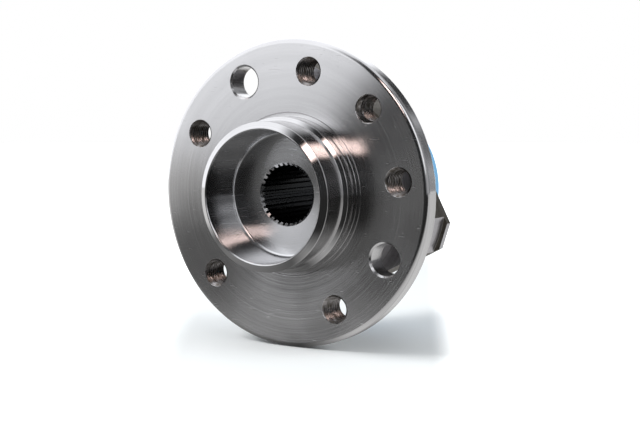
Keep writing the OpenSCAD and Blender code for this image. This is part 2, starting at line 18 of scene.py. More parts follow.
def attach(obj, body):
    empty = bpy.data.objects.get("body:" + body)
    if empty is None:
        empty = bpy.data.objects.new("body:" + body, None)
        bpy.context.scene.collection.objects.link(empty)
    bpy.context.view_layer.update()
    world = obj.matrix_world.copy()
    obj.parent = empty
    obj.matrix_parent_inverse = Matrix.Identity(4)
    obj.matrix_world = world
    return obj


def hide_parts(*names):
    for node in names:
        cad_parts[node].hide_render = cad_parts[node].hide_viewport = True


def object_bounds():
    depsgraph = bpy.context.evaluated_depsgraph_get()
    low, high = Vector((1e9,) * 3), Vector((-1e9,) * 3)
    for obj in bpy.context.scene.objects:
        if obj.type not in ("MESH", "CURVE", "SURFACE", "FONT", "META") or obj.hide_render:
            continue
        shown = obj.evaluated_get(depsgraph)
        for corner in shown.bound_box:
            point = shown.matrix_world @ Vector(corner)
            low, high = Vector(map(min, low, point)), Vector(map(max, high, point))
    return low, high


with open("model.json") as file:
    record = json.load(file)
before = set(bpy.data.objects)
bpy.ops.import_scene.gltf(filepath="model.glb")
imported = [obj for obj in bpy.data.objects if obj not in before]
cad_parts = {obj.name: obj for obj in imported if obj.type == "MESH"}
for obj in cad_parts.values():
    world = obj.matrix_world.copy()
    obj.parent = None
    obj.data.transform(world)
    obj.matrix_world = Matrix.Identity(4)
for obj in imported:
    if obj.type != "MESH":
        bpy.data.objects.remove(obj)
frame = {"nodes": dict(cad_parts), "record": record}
cad_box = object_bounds()
nodes = frame["nodes"]
MM = 0.001
print("nodes:", len(nodes))

# %% [markdown]
# ## The camera
# The viewpoint was worked out from the photograph: the five bolt holes and the edges of the
# flange and the spigot only line up from one place. The camera stands a little over half a
# metre away, a third of a right angle to the right of the spin axis and slightly above it.

# %% Place the camera
CAMERA_PLACE = (0.2941, -0.4626, 0.0394)
CAMERA_TILT = 85.02
CAMERA_TURN = 31.0
camera_data = bpy.data.cameras.new("camera")
camera_data.sensor_width = 36.0
camera_data.lens = 69.69
camera = bpy.data.objects.new("camera", camera_data)
camera.location = CAMERA_PLACE
camera.rotation_euler = (math.radians(CAMERA_TILT), 0.0, math.radians(CAMERA_TURN))
bpy.context.scene.collection.objects.link(camera)
bpy.context.scene.camera = camera
bpy.context.scene.view_settings.view_transform = "Standard"
print("camera stands", round(camera.location.length * 1000), "mm from the wheel face")

# %% [markdown]
# ## Helpers for turned parts
# Almost everything here comes off a lathe, so the main helper draws half a section and spins
# it round the Y axis. A section is a list of corners: radius, distance behind the wheel face,
# and an optional rounding. A mirror or an array could not make a round part; the spin
# operator makes exactly what a lathe makes.

# %% Turn a section round the spin axis
STEPS = 192
LARGE_ROUNDING = 1.2
MERGE_DISTANCE = 0.0005 * MM


def wire(work, corners, closed):
    """Draws the section as loose edges and rounds the corners that ask for it."""
    verts = [work.verts.new((corner[0] * MM, corner[1] * MM, 0.0)) for corner in corners]
    partners = verts[1:] + verts[:1] if closed else verts[1:]
    for first, second in zip(verts, partners):
        work.edges.new((first, second))
    roundings = [corner[2] if len(corner) > 2 else 0.0 for corner in corners]
    for size in sorted(set(roundings) - {0.0}):
        chosen = [v for v, rounding in zip(verts, roundings) if rounding == size]
        bmesh.ops.bevel(work, geom=chosen, offset=size * MM, offset_type="OFFSET",
                        segments=3 if size < LARGE_ROUNDING else 7, profile=0.5, affect="VERTICES",
                        material=-1, clamp_overlap=True)


def spin_section(corners, closed=True, steps=STEPS):
    """A bmesh of the section spun once round the Y axis."""
    work = bmesh.new()
    wire(work, corners, closed)
    bmesh.ops.spin(work, geom=work.verts[:] + work.edges[:], cent=(0, 0, 0), axis=(0, 1, 0),
                   angle=math.tau, steps=steps, use_merge=True, use_duplicate=False)
    bmesh.ops.remove_doubles(work, verts=work.verts[:], dist=MERGE_DISTANCE)
    bmesh.ops.dissolve_degenerate(work, edges=work.edges[:], dist=MERGE_DISTANCE)
    bmesh.ops.recalc_face_normals(work, faces=work.faces[:])
    return work


def arc(center_r, center_y, size, first, last, count=14):
    """Corners along part of a ball groove; angles in degrees from the radial direction."""
    corners = []
    for i in range(count + 1):
        angle = math.radians(first + (last - first) * i / count)
        corners.append((center_r + size * math.cos(angle), center_y + size * math.sin(angle)))
    return corners


print("a full turn takes", STEPS, "steps of", 360.0 / STEPS, "degrees")

# %% [markdown]
# ## Helpers for cutting
# A workshop joins and cuts, and Blender does both with booleans. The manifold solver is quick
# and exact on closed solids, so every tool here is a closed solid too. Each modifier is applied
# at once, so that the next cut starts from a plain mesh.

# %% Make and cut pieces
SOLVER = "MANIFOLD"


def piece_from(name, work):
    """Turns a bmesh into an object of the scene."""
    mesh = bpy.data.meshes.new(name)
    work.to_mesh(mesh)
    work.free()
    piece = bpy.data.objects.new(name, mesh)
    bpy.context.scene.collection.objects.link(piece)
    return piece


def settle(piece):
    """Applies the modifiers of a piece to its mesh."""
    graph = bpy.context.evaluated_depsgraph_get()
    mesh = bpy.data.meshes.new_from_object(piece.evaluated_get(graph))
    piece.modifiers.clear()
    bare = piece.data
    piece.data = mesh
    bpy.data.meshes.remove(bare)


def join_or_cut(piece, tool, operation="DIFFERENCE"):
    """Boolean of a piece with a tool, which is used up."""
    modifier = piece.modifiers.new("shape", "BOOLEAN")
    modifier.operation = operation
    modifier.solver = SOLVER
    modifier.object = tool
    settle(piece)
    bpy.data.objects.remove(tool)


print("booleans use the", SOLVER.lower(), "solver")

# %% [markdown]
# ### Soft shading, checks and copies
# Weighted normals keep the flat faces flat and let only the small roundings shade softly. The
# number of open edges after each cut tells at once when a boolean went wrong. Copies round a
# circle are duplicated in one bmesh, so a whole row of holes is cut in one step.

# %% Soften, check and copy
SHARP_ANGLE = 35.0


def soften(piece):
    """Smooth shading that keeps flat faces flat and hard edges hard."""
    mesh = piece.data
    mesh.polygons.foreach_set("use_smooth", [True] * len(mesh.polygons))
    mesh.set_sharp_from_angle(angle=math.radians(SHARP_ANGLE))
    modifier = piece.modifiers.new("flat faces", "WEIGHTED_NORMAL")
    modifier.keep_sharp = True


def open_edges(piece):
    """Number of edges that don't join exactly two faces: 0 on a closed solid."""
    work = bmesh.new()
    work.from_mesh(piece.data)
    count = sum(1 for edge in work.edges if len(edge.link_faces) != 2)
    work.free()
    return count


def around(radius, angles):
    """Places on a circle in the flange's plane; angles in degrees from +X towards +Z."""
    return [Vector((radius * MM * math.cos(math.radians(a)), 0.0,
                    radius * MM * math.sin(math.radians(a)))) for a in angles]


def verts_in(geometry):
    """The vertices among the parts that an operator returns."""
    return [part for part in geometry if isinstance(part, bmesh.types.BMVert)]


def spread(work, places):
    """Copies what is in a bmesh to each place and drops the first one."""
    source = work.verts[:] + work.edges[:] + work.faces[:]
    for place in places:
        made = bmesh.ops.duplicate(work, geom=source)["geom"]
        bmesh.ops.translate(work, vec=place, verts=verts_in(made))
    bmesh.ops.delete(work, geom=verts_in(source), context="VERTS")
    return work


print("edges over", SHARP_ANGLE, "degrees stay sharp")

# %% [markdown]
# ## The hub
# On the real hub the spigot, the flange and the shaft are one forging, turned all over on its
# wheel side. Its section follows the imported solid; here the corners also get the small
# roundings that catch the light. The ball groove is part of the section: an arc round the
# middle of a ball, at the pitch radius of the rows.

# %% Turn the hub blank
GROOVE_R = 6.55
PITCH_R = 29.5
OUTBOARD_ROW_Y = 29.5
INBOARD_ROW_Y = 49.5
hub_section = [
    (12.95, -1.7), (14.15, -1.7, 0.1), (26.6, -2.3), (27.8, -2.35, 1.0), (29.0, -22.1),
    (29.4, -22.5, 0.1), (29.7, -22.5, 0.15), (32.5, -20.9, 0.2), (32.5, -8.2, 0.15),
    (34.35, -7.2, 0.15), (34.35, 0.5, 0.2), (36.05, 0.5, 0.1), (36.4, 0.0, 0.15),
    (68.5, 0.0, 2.1), (68.5, 7.7, 0.3), (67.35, 8.85, 0.3), (63.85, 10.5, 1.0),
    (45.0, 10.5, 1.5), (40.5, 12.0, 1.0), (39.0, 15.2, 0.3),
    (27.5, 15.2), (27.5, 23.26),
]
hub_section += arc(PITCH_R, OUTBOARD_ROW_Y, GROOVE_R, -107.8, -213.0)[1:]
hub_section += [
    (24.0, 33.2), (24.0, 39.5), (19.5, 39.5), (19.5, 62.3), (23.9, 62.3, 0.2),
    (24.5, 63.2, 0.4), (24.3, 64.6, 0.6), (21.8, 66.3, 0.6), (12.95, 66.3),
]
hub_piece = piece_from("hub_body", spin_section(hub_section))
print("hub blank:", len(hub_piece.data.polygons), "faces,", open_edges(hub_piece), "open edges")

# %% [markdown]
# ## Bosses behind the bolt holes
# Each thread needs more depth than the flange has, so the forging has a round boss behind
# every threaded hole. They are turned about their own axis, copied round the bolt circle and
# joined to the blank.

# %% Join the bosses
BOLT_ANGLES = [7.4 + 72.0 * i for i in range(5)]
SCREW_ANGLE = 43.4
ACCESS_ANGLES = [115.4, -28.6]
BOLT_CIRCLE_R = 55.0
boss_section = [
    (0.0, 5.0), (11.9, 5.0), (11.9, 10.45), (10.9, 10.9, 0.4), (10.5, 12.2, 0.6),
    (10.5, 14.5, 0.5), (0.0, 14.5),
]
bosses = spread(spin_section(boss_section, closed=False, steps=64),
                around(BOLT_CIRCLE_R, BOLT_ANGLES + [SCREW_ANGLE]))
join_or_cut(hub_piece, piece_from("bosses", bosses), "UNION")
print("with bosses:", len(hub_piece.data.polygons), "faces,", open_edges(hub_piece), "open")

# %% [markdown]
# ## Holes, threads and spline
# A thread is a groove that winds round the hole like a coil spring. The coil is one wedge,
# spun with a step forward at every turn; taking it away from the hub leaves the thread. A
# bump texture would be cheaper, but in the photograph the ribs show inside each hole, and
# their outline at the mouth would stay round. The bevel of each mouth is cut last, so the
# ribs fade out in it as they do after a countersink.

# %% Thread and drill tools
COIL_STEPS = 40
FLANK_ANGLE = 30.0
ROOT_FLAT = 0.06
OVERSHOOT = 1.0


def coil(root_r, inner_r, pitch, y_first, turns):
    """Solid coil that cuts a thread between two radii."""
    work = bmesh.new()
    flat = pitch * ROOT_FLAT
    half = (root_r - inner_r) * math.tan(math.radians(FLANK_ANGLE)) + flat
    wire(work, [(inner_r, y_first - half), (root_r, y_first - flat),
                (root_r, y_first + flat), (inner_r, y_first + half)], True)
    bmesh.ops.spin(work, geom=work.verts[:] + work.edges[:], cent=(0, 0, 0), axis=(0, 1, 0),
                   dvec=(0, pitch * MM / COIL_STEPS, 0), angle=math.tau * turns,
                   steps=COIL_STEPS * turns, use_merge=False, use_duplicate=False)
    bmesh.ops.holes_fill(work, edges=work.edges[:], sides=0)
    bmesh.ops.recalc_face_normals(work, faces=work.faces[:])
    return work


def turned_tool(section):
    """Small closed tool, turned from the axis outwards."""
    return spin_section(section, closed=False, steps=72)


def drill(radius, back):
    """Plain drill that comes out on both sides of the flange."""
    return turned_tool([(0.0, -OVERSHOOT), (radius, -OVERSHOOT), (radius, back), (0.0, back)])


def countersink(radius, mouth, bevel, back):
    """Two cones, one at the wheel face and one at the back of the hole."""
    work = turned_tool([(0.0, -OVERSHOOT), (mouth + 1.0, -OVERSHOOT), (mouth + 0.12, 0.0, 0.1),
                        (radius - 0.4, bevel + 0.35), (0.0, bevel + 0.35)])
    rear = turned_tool([(0.0, back + OVERSHOOT), (mouth + 1.0, back + OVERSHOOT),
                        (radius - 0.4, back - bevel - 0.35), (0.0, back - bevel - 0.35)])
    rear_mesh = bpy.data.meshes.new("rear")
    rear.to_mesh(rear_mesh)
    rear.free()
    work.from_mesh(rear_mesh)
    bpy.data.meshes.remove(rear_mesh)
    return work


print("thread flanks at", FLANK_ANGLE, "degrees,", COIL_STEPS, "steps a turn")

# %% [markdown]
# ### The holes of the flange
# Five tapped holes take the wheel bolts, one smaller one takes the screw that holds the brake
# disc, and through two plain ones a socket reaches the knuckle bolts. Each is made in the order
# of a workshop: drill, thread, mouth. Cutting one kind at a time shows at once which tool
# would leave an open edge.

# %% Drill the holes
# a thread is its root radius, its inner radius and its pitch
BOLT_THREAD = (6.05, 5.0, 1.5)
BOLT_DRILL_R = 5.25
SCREW_THREAD = (5.8, 4.8, 1.25)
SCREW_DRILL_R = 5.0
SCREW_ENTRY_R = 5.9
ACCESS_R = 7.0
FLANGE_BACK_Y = 10.5
BOSS_BACK_Y = 14.5
DRILL_BACK_Y = 16.0
bolt_places = around(BOLT_CIRCLE_R, BOLT_ANGLES)
screw_places = around(BOLT_CIRCLE_R, [SCREW_ANGLE])
access_places = around(BOLT_CIRCLE_R, ACCESS_ANGLES)
hub_cuts = [
    ("bolt drills", spread(drill(BOLT_DRILL_R, DRILL_BACK_Y), bolt_places)),
    ("bolt threads", spread(coil(*BOLT_THREAD, -1.6, 12), bolt_places)),
    ("bolt mouths", spread(countersink(BOLT_DRILL_R, 6.3, 1.05, BOSS_BACK_Y), bolt_places)),
    ("screw drill", spread(drill(SCREW_DRILL_R, DRILL_BACK_Y), screw_places)),
    ("screw thread", spread(coil(*SCREW_THREAD, 3.6, 10), screw_places)),
    ("screw entry", spread(turned_tool(
        [(0.0, -OVERSHOOT), (SCREW_ENTRY_R, -OVERSHOOT), (SCREW_ENTRY_R, 4.2, 0.3), (4.8, 5.4),
         (0.0, 5.4)]), screw_places)),
    ("screw mouth", spread(countersink(SCREW_ENTRY_R, 6.25, 0.35, BOSS_BACK_Y), screw_places)),
    ("access drills", spread(drill(ACCESS_R, DRILL_BACK_Y), access_places)),
    ("access mouths", spread(countersink(ACCESS_R, 7.7, 0.7, FLANGE_BACK_Y), access_places)),
]
for title, cutter in hub_cuts:
    join_or_cut(hub_piece, piece_from(title, cutter))
    print(title, "cut,", open_edges(hub_piece), "open edges")

# %% [markdown]
# ## The spline
# The drive shaft's stub pushes into 33 straight grooves, which a broach cuts on the real hub.
# One groove is a thin tapered bar; the spin operator with its duplicate option sets 33 copies
# round the axis. A wide cone at each end then gives the teeth their lead-in.

# %% Broach the spline
SPLINE_TEETH = 33


def tooth_space_bars():
    """One tapered bar for each groove of the spline."""
    root_r, mouth_r = 13.95, 12.75
    root_share, mouth_share = 0.17, 0.31
    front_y, back_y = -2.4, 67.5
    work = bmesh.new()
    bmesh.ops.create_cube(work, size=1.0)
    step = math.tau / SPLINE_TEETH
    for vert in work.verts:
        outer = vert.co.x > 0
        radius = (root_r if outer else mouth_r) * MM
        half = radius * math.sin(step * (root_share if outer else mouth_share))
        depth = (back_y if vert.co.y > 0 else front_y) * MM
        vert.co = (radius, depth, math.copysign(half, vert.co.z))
    bmesh.ops.spin(work, geom=work.verts[:] + work.edges[:] + work.faces[:], cent=(0, 0, 0),
                   axis=(0, 1, 0), angle=math.tau, steps=SPLINE_TEETH, use_merge=False,
                   use_duplicate=True)
    bmesh.ops.remove_doubles(work, verts=work.verts[:], dist=0.001 * MM)
    bmesh.ops.recalc_face_normals(work, faces=work.faces[:])
    return work


bars = tooth_space_bars()
print("spline bars:", len(bars.faces), "faces")
join_or_cut(hub_piece, piece_from("spline bars", bars))
for title, outside_y, face_y, inside_y in [("front lead", -2.7, -1.7, -0.62),
                                           ("rear lead", 67.3, 66.3, 65.22)]:
    lead = spin_section([(0.0, outside_y), (15.35, outside_y), (14.15, face_y),
                         (12.85, inside_y), (0.0, inside_y)], closed=False)
    join_or_cut(hub_piece, piece_from(title, lead))
    print(title, "cut,", open_edges(hub_piece), "open edges")

# %% [markdown]
# ### Threads marked, hub handed over
# A thread is duller than the turned face round it, so the faces inside the tapped holes get a
# second material slot; a mask in the finish could do the same, but a slot keeps it simple. The
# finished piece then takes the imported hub's place, on the same body and in the same slot.

# %% Hand the hub over
IN_THREAD = 1
THREAD_ZONE_R = 6.35
THREAD_ZONE_Y = 0.15
for face in hub_piece.data.polygons:
    for place in bolt_places + screw_places:
        if math.hypot(face.center.x - place.x, face.center.z - place.z) < THREAD_ZONE_R * MM:
            face.material_index = IN_THREAD if face.center.y > THREAD_ZONE_Y * MM else 0
soften(hub_piece)
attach(hub_piece, "hub")
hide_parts("hub_flange")
print("hub:", len(hub_piece.data.polygons), "faces,", open_edges(hub_piece), "open edges")

# %% [markdown]
# ## The outer ring
# The ring that bolts to the knuckle is forged with three lugs. Its ends and seats are turned,
# while the lugs' flanks keep the dark skin of the forging. The ring itself is spun from its
# section, with the grooves of both ball rows on its inside.

# %% Turn the ring
ring_section = [
    (36.5, 17.5), (39.0, 17.5, 0.3), (40.0, 18.5, 0.3), (40.0, 20.4), (41.6, 22.0, 0.5),
    (46.6, 22.0, 0.3), (47.6, 23.0, 0.3), (47.6, 40.0, 0.3), (42.0, 40.0), (42.0, 53.0, 0.2),
    (41.0, 54.0, 0.2), (39.5, 54.0), (39.5, 60.9, 0.2), (38.9, 61.5, 0.2), (36.5, 61.5),
    (36.0, 61.0), (36.0, 56.7), (35.0, 56.7),
]
ring_section += arc(PITCH_R, INBOARD_ROW_Y, GROOVE_R, 32.9, -67.5)
ring_section += arc(PITCH_R, OUTBOARD_ROW_Y, GROOVE_R, 67.5, -32.9)
ring_section += [(35.0, 22.3), (36.0, 22.3), (36.0, 18.0)]
ring_piece = piece_from("lugged_ring", spin_section(ring_section))
print("ring:", len(ring_piece.data.polygons), "faces,", open_edges(ring_piece), "open edges")

# %% [markdown]
# ### The lugs
# A lug is a flat outline, pushed out to its thickness and trimmed by a turned envelope, because
# the lathe that turned the ring trimmed its lugs too. Its edges are bevelled before it is
# joined: each then shows as a light line, and the ring's own edges stay as they are.

# %% Shape a lug
LUG_FRONT_Y = 22.0
LUG_BACK_Y = 40.0


def lug_blank():
    """One lug as a prism from the axis outwards, flanks tangent to the ring's plate."""
    reach, half_w, flank_r = 61.3, 6.05, 47.6
    tangent = math.acos(flank_r / math.hypot(reach, half_w)) + math.atan2(half_w, reach)
    side = (flank_r * math.cos(tangent), flank_r * math.sin(tangent))
    corners = [(0.0, 0.0), (side[0], -side[1]), (reach, -half_w), (reach, half_w), side]
    work = bmesh.new()
    verts = [work.verts.new((x * MM, LUG_FRONT_Y * MM, z * MM)) for x, z in corners]
    outline = work.faces.new(verts)
    made = bmesh.ops.extrude_face_region(work, geom=[outline])["geom"]
    bmesh.ops.translate(work, vec=(0, (LUG_BACK_Y - LUG_FRONT_Y) * MM, 0), verts=verts_in(made))
    bmesh.ops.recalc_face_normals(work, faces=work.faces[:])
    return work


def trimmed_lug():
    """One lug along +X: trimmed outside, bored out where the ring is, edges bevelled."""
    lug = piece_from("lug", lug_blank())
    envelope = spin_section([(0.0, 21.9), (58.2, 21.9), (58.2, 22.0, 0.2), (59.5, 23.4, 0.2),
                             (59.5, 36.5, 0.4), (63.0, 36.5), (63.0, 41.0), (0.0, 41.0)],
                            closed=False)
    join_or_cut(lug, piece_from("envelope", envelope), "INTERSECT")
    core = spin_section([(0.0, 20.0), (38.0, 20.0), (38.0, 42.0), (0.0, 42.0)], closed=False)
    join_or_cut(lug, piece_from("core", core))
    bevel = lug.modifiers.new("edges", "BEVEL")
    bevel.width = 0.45 * MM
    bevel.segments = 2
    bevel.limit_method = "ANGLE"
    bevel.angle_limit = math.radians(SHARP_ANGLE)
    settle(lug)
    return lug


print("lugs are", LUG_BACK_Y - LUG_FRONT_Y, "mm thick")

# %% [markdown]
# ### Lugs joined and tapped
# The three lugs stand a third of a turn apart, so one shape is turned to its angle and joined,
# three times. The knuckle bolts screw in from behind: the tapped holes get their wide mouth on
# the knuckle's side.

# %% Join and tap the lugs
LUG_ANGLES = [-18.0, 102.0, 222.0]
LUG_CIRCLE_R = 51.0
for angle in LUG_ANGLES:
    lug = trimmed_lug()
    lug.data.transform(Matrix.Rotation(-math.radians(angle), 4, "Y"))
    join_or_cut(ring_piece, lug, "UNION")
lug_places = around(LUG_CIRCLE_R, LUG_ANGLES)
lug_cuts = [
    ("lug drills", turned_tool([(0.0, LUG_FRONT_Y - OVERSHOOT),
                                (BOLT_DRILL_R, LUG_FRONT_Y - OVERSHOOT),
                                (BOLT_DRILL_R, LUG_BACK_Y + OVERSHOOT),
                                (0.0, LUG_BACK_Y + OVERSHOOT)])),
    ("lug threads", coil(*BOLT_THREAD, 20.5, 14)),
    ("lug mouths", turned_tool([(0.0, LUG_BACK_Y + OVERSHOOT), (7.37, LUG_BACK_Y + OVERSHOOT),
                                (6.37, LUG_BACK_Y, 0.1), (4.9, 38.53), (0.0, 38.53)])),
]
for title, cutter in lug_cuts:
    join_or_cut(ring_piece, piece_from(title, spread(cutter, lug_places)))
    print(title, "cut,", open_edges(ring_piece), "open edges")
soften(ring_piece)
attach(ring_piece, "carrier")
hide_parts("outer_ring")

# %% [markdown]
# ## The blue cap
# The plastic cap closes the back of the bearing. A moulded part has rounded corners, a
# shallow recess round its face and round marks where the mould pushed it out. Its mould was
# turned, so the cap is spun like the steel parts; the pocket for the sensor is a box cut away.

# %% Mould the cap
cap_section = [
    (40.3, 54.6), (41.0, 54.6, 0.2), (41.3, 54.9, 0.1), (41.3, 69.5, 3.0), (37.3, 69.5, 0.3),
    (36.9, 69.1, 0.2), (31.3, 69.1, 0.2), (30.9, 69.5, 0.3),
    (26.5, 69.5, 0.5), (26.5, 65.1, 0.3), (28.3, 65.1, 0.3), (28.3, 67.0, 0.3),
    (37.5, 67.0, 0.3), (37.5, 62.3), (40.3, 62.3),
]
cap_piece = piece_from("blue_cap", spin_section(cap_section))
POCKET_SIZE = (5.7 * MM, 6.0 * MM, 8.1 * MM)
POCKET_PLACE = (-33.6 * MM, 68.3 * MM, 0.0)
pocket = bmesh.new()
bmesh.ops.create_cube(pocket, size=1.0)
bmesh.ops.scale(pocket, vec=POCKET_SIZE, verts=pocket.verts[:])
bmesh.ops.translate(pocket, vec=POCKET_PLACE, verts=pocket.verts[:])
join_or_cut(cap_piece, piece_from("window", pocket))
MARK_CIRCLE_R = 34.1
MARK_ANGLES = [20, 70, 130, 230, 290, 340]
marks = spread(spin_section([(0.0, 68.85), (1.6, 68.85), (1.6, 70.0), (0.0, 70.0)],
                            closed=False, steps=32), around(MARK_CIRCLE_R, MARK_ANGLES))
join_or_cut(cap_piece, piece_from("ejector marks", marks))
soften(cap_piece)
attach(cap_piece, "carrier")
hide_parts("sensor_cap")
print("cap:", len(cap_piece.data.polygons), "faces,", open_edges(cap_piece), "open edges")

# %% [markdown]
# ## Finishes
# Every finish is a node material on Object coordinates, so it needs no picture and stays with
# its piece when the hub turns. The first helpers make short node chains, because most finishes
# start from the same three ideas: a noise, a range of values, and a bump.

# %% Short names for nodes
# a Mix node keeps its colour sockets behind those for numbers and vectors
MIX_FIRST, MIX_SECOND, MIX_RESULT = 6, 7, 2


def new_finish(name, roughness, metallic):
    """A material, its node tree and its shader."""
    material = bpy.data.materials.new(name)
    material.use_nodes = True
    tree = material.node_tree
    shader = tree.nodes["Principled BSDF"]
    shader.inputs["Roughness"].default_value = roughness
    shader.inputs["Metallic"].default_value = metallic
    return material, tree, shader


def feed(tree, value, socket):
    """Sets a socket from a number, a vector or another node's output."""
    if isinstance(value, bpy.types.NodeSocket):
        tree.links.new(value, socket)
    else:
        socket.default_value = value


def math_node(tree, operation, first, second=0.0):
    """Result of a sum on two numbers, or on one."""
    node = tree.nodes.new("ShaderNodeMath")
    node.operation = operation
    feed(tree, first, node.inputs[0])
    feed(tree, second, node.inputs[1])
    return node.outputs[0]


def vector_node(tree, operation, first, second=(0, 0, 0)):
    """Result of a sum on two vectors: a number for a length or a dot product."""
    node = tree.nodes.new("ShaderNodeVectorMath")
    node.operation = operation
    feed(tree, first, node.inputs[0])
    feed(tree, second, node.inputs[1])
    return node.outputs["Value" if operation in ("DOT_PRODUCT", "LENGTH") else "Vector"]


def blend_colors(tree, factor, first, second):
    """The first colour where the factor is 0, the second where it is 1."""
    node = tree.nodes.new("ShaderNodeMix")
    node.data_type = "RGBA"
    feed(tree, factor, node.inputs["Factor"])
    feed(tree, first, node.inputs[MIX_FIRST])
    feed(tree, second, node.inputs[MIX_SECOND])
    return node.outputs[MIX_RESULT]


print("node helpers: sums, vectors and colours")

# %% [markdown]
# ### Noise, ranges and bumps
# Noise here is worked out in space, so it needs no unwrapping. Its values crowd round 0.5, and
# a smooth range stretches them to the ones that a finish needs. Noise along one number makes
# rings on a turned part.

# %% Noise, ranges and bumps
def noise(tree, vector, scale, detail=3.0, roughness=0.5):
    """Noise in space, in patches per metre."""
    node = tree.nodes.new("ShaderNodeTexNoise")
    tree.links.new(vector, node.inputs["Vector"])
    node.inputs["Scale"].default_value = scale
    node.inputs["Detail"].default_value = detail
    node.inputs["Roughness"].default_value = roughness
    return node.outputs["Fac"]


def line_noise(tree, value, scale, detail=3.0):
    """Noise that changes along one number only."""
    node = tree.nodes.new("ShaderNodeTexNoise")
    node.noise_dimensions = "1D"
    tree.links.new(value, node.inputs["W"])
    node.inputs["Scale"].default_value = scale
    node.inputs["Detail"].default_value = detail
    return node.outputs["Fac"]


def remap(tree, value, from_low, from_high, to_low, to_high):
    """Smooth step from one range to another, held at both ends."""
    node = tree.nodes.new("ShaderNodeMapRange")
    node.interpolation_type = "SMOOTHSTEP"
    for socket, number in zip(("From Min", "From Max", "To Min", "To Max"),
                              (from_low, from_high, to_low, to_high)):
        node.inputs[socket].default_value = number
    tree.links.new(value, node.inputs["Value"])
    return node.outputs["Result"]


def bump(tree, height, strength, distance):
    """Normals tilted by a height, for relief too small to model."""
    node = tree.nodes.new("ShaderNodeBump")
    node.inputs["Strength"].default_value = strength
    node.inputs["Distance"].default_value = distance
    tree.links.new(height, node.inputs["Height"])
    return node.outputs["Normal"]


print("texture helpers: noise in space and along a line, smooth ranges, bumps")

# %% [markdown]
# ### Coordinates of a turned part
# On a turned part everything depends on the radius and on the depth. The marks of the tool
# need one number that grows along the whole section, over flat faces as well as cylinders: the
# sum of the radius and a part of the depth does that without a seam.

# %% Coordinates of a turned part
DEPTH_SHARE = 0.83


def lathe_coordinates(tree):
    """Object coordinates, radius from the spin axis, depth, and a number along the section."""
    place = tree.nodes.new("ShaderNodeTexCoord").outputs["Object"]
    flat = vector_node(tree, "MULTIPLY", place, (1.0, 0.0, 1.0))
    radius = vector_node(tree, "LENGTH", flat)
    depth = vector_node(tree, "DOT_PRODUCT", place, (0.0, 1.0, 0.0))
    along = math_node(tree, "ADD", radius, math_node(tree, "MULTIPLY", depth, DEPTH_SHARE))
    return place, radius, depth, along


def groove_direction(tree, place):
    """Direction across the turning marks, in which a turned face spreads its highlights."""
    round_axis = vector_node(tree, "CROSS_PRODUCT", (0.0, 1.0, 0.0), place)
    turn = tree.nodes.new("ShaderNodeVectorTransform")
    turn.vector_type = "VECTOR"
    turn.convert_from = "OBJECT"
    turn.convert_to = "WORLD"
    tree.links.new(round_axis, turn.inputs[0])
    normal = tree.nodes.new("ShaderNodeNewGeometry").outputs["Normal"]
    across = vector_node(tree, "CROSS_PRODUCT", normal, turn.outputs[0])
    return vector_node(tree, "NORMALIZE", across)


print("a step in depth counts", DEPTH_SHARE, "of a step in radius")

# %% [markdown]
# ### Threads and scratches
# A tap leaves a duller surface than a lathe. The threads are also painted darker than the
# turned steel, in patches: partly dust between the ribs, partly painted shade inside the holes.
# Handling leaves short straight scratches: a noise that is stretched a long way in one direction,
# of which only the highest peaks are kept.

# %% Threads and scratches
# colour of the dark patches in the threads: partly dust, partly painted shade
DUST_AND_SHADE_COLOR = (0.12, 0.105, 0.09, 1.0)


def cut_steel(name, color):
    """Threads: duller than the turned faces, painted darker as shade inside the holes, with dust
    patches.
    """
    material, tree, shader = new_finish(name, 0.3, 1.0)
    place = tree.nodes.new("ShaderNodeTexCoord").outputs["Object"]
    dust_and_shade = noise(tree, place, 420.0, 3.0)
    tree.links.new(blend_colors(tree, remap(tree, dust_and_shade, 0.35, 0.7, 0.0, 1.0), (*color, 1.0),
                                DUST_AND_SHADE_COLOR), shader.inputs["Base Color"])
    tree.links.new(remap(tree, dust_and_shade, 0.3, 0.7, 0.24, 0.42), shader.inputs["Roughness"])
    return material


def scratches(tree, place, turn, length, width, amount):
    """1 on thin straight marks that run one way across a face, 0 elsewhere."""
    stretch = tree.nodes.new("ShaderNodeMapping")
    stretch.vector_type = "POINT"
    stretch.inputs["Rotation"].default_value = (0.0, math.radians(turn), 0.0)
    stretch.inputs["Scale"].default_value = (1.0 / (length * MM), 40.0, 1.0 / (width * MM))
    tree.links.new(place, stretch.inputs["Vector"])
    return remap(tree, noise(tree, stretch.outputs[0], 1.0, 1.0), amount, amount + 0.03, 0.0, 1.0)


# the thread colour, darker than the turned steel, is painted shade inside the holes
thread_steel = cut_steel("tapped steel", (0.30, 0.285, 0.28))
print("thread finish:", thread_steel.name)

# %% [markdown]
# ### Zones of the hub
# The hub is one solid, but not one finish. The pilots and the rim were turned finer than the
# flange face, the cup is a little cooler in colour, and the splined bore is painted nearly black:
# painted shade, standing for the dark deep inside of the bore.
# Masks by radius and depth let one finish run into the next in a single material, where slots
# of their own would end in hard lines.

# %% Zones of the hub
# painted shade: the splined bore's colour is darkened nearly to black
BORE_SHADE_COLOR = (0.005, 0.007, 0.010, 1.0)
CUP_COLOR = (0.57, 0.57, 0.575, 1.0)
FINE_TURNING = 0.7
BORE_ROUGHNESS = 0.1


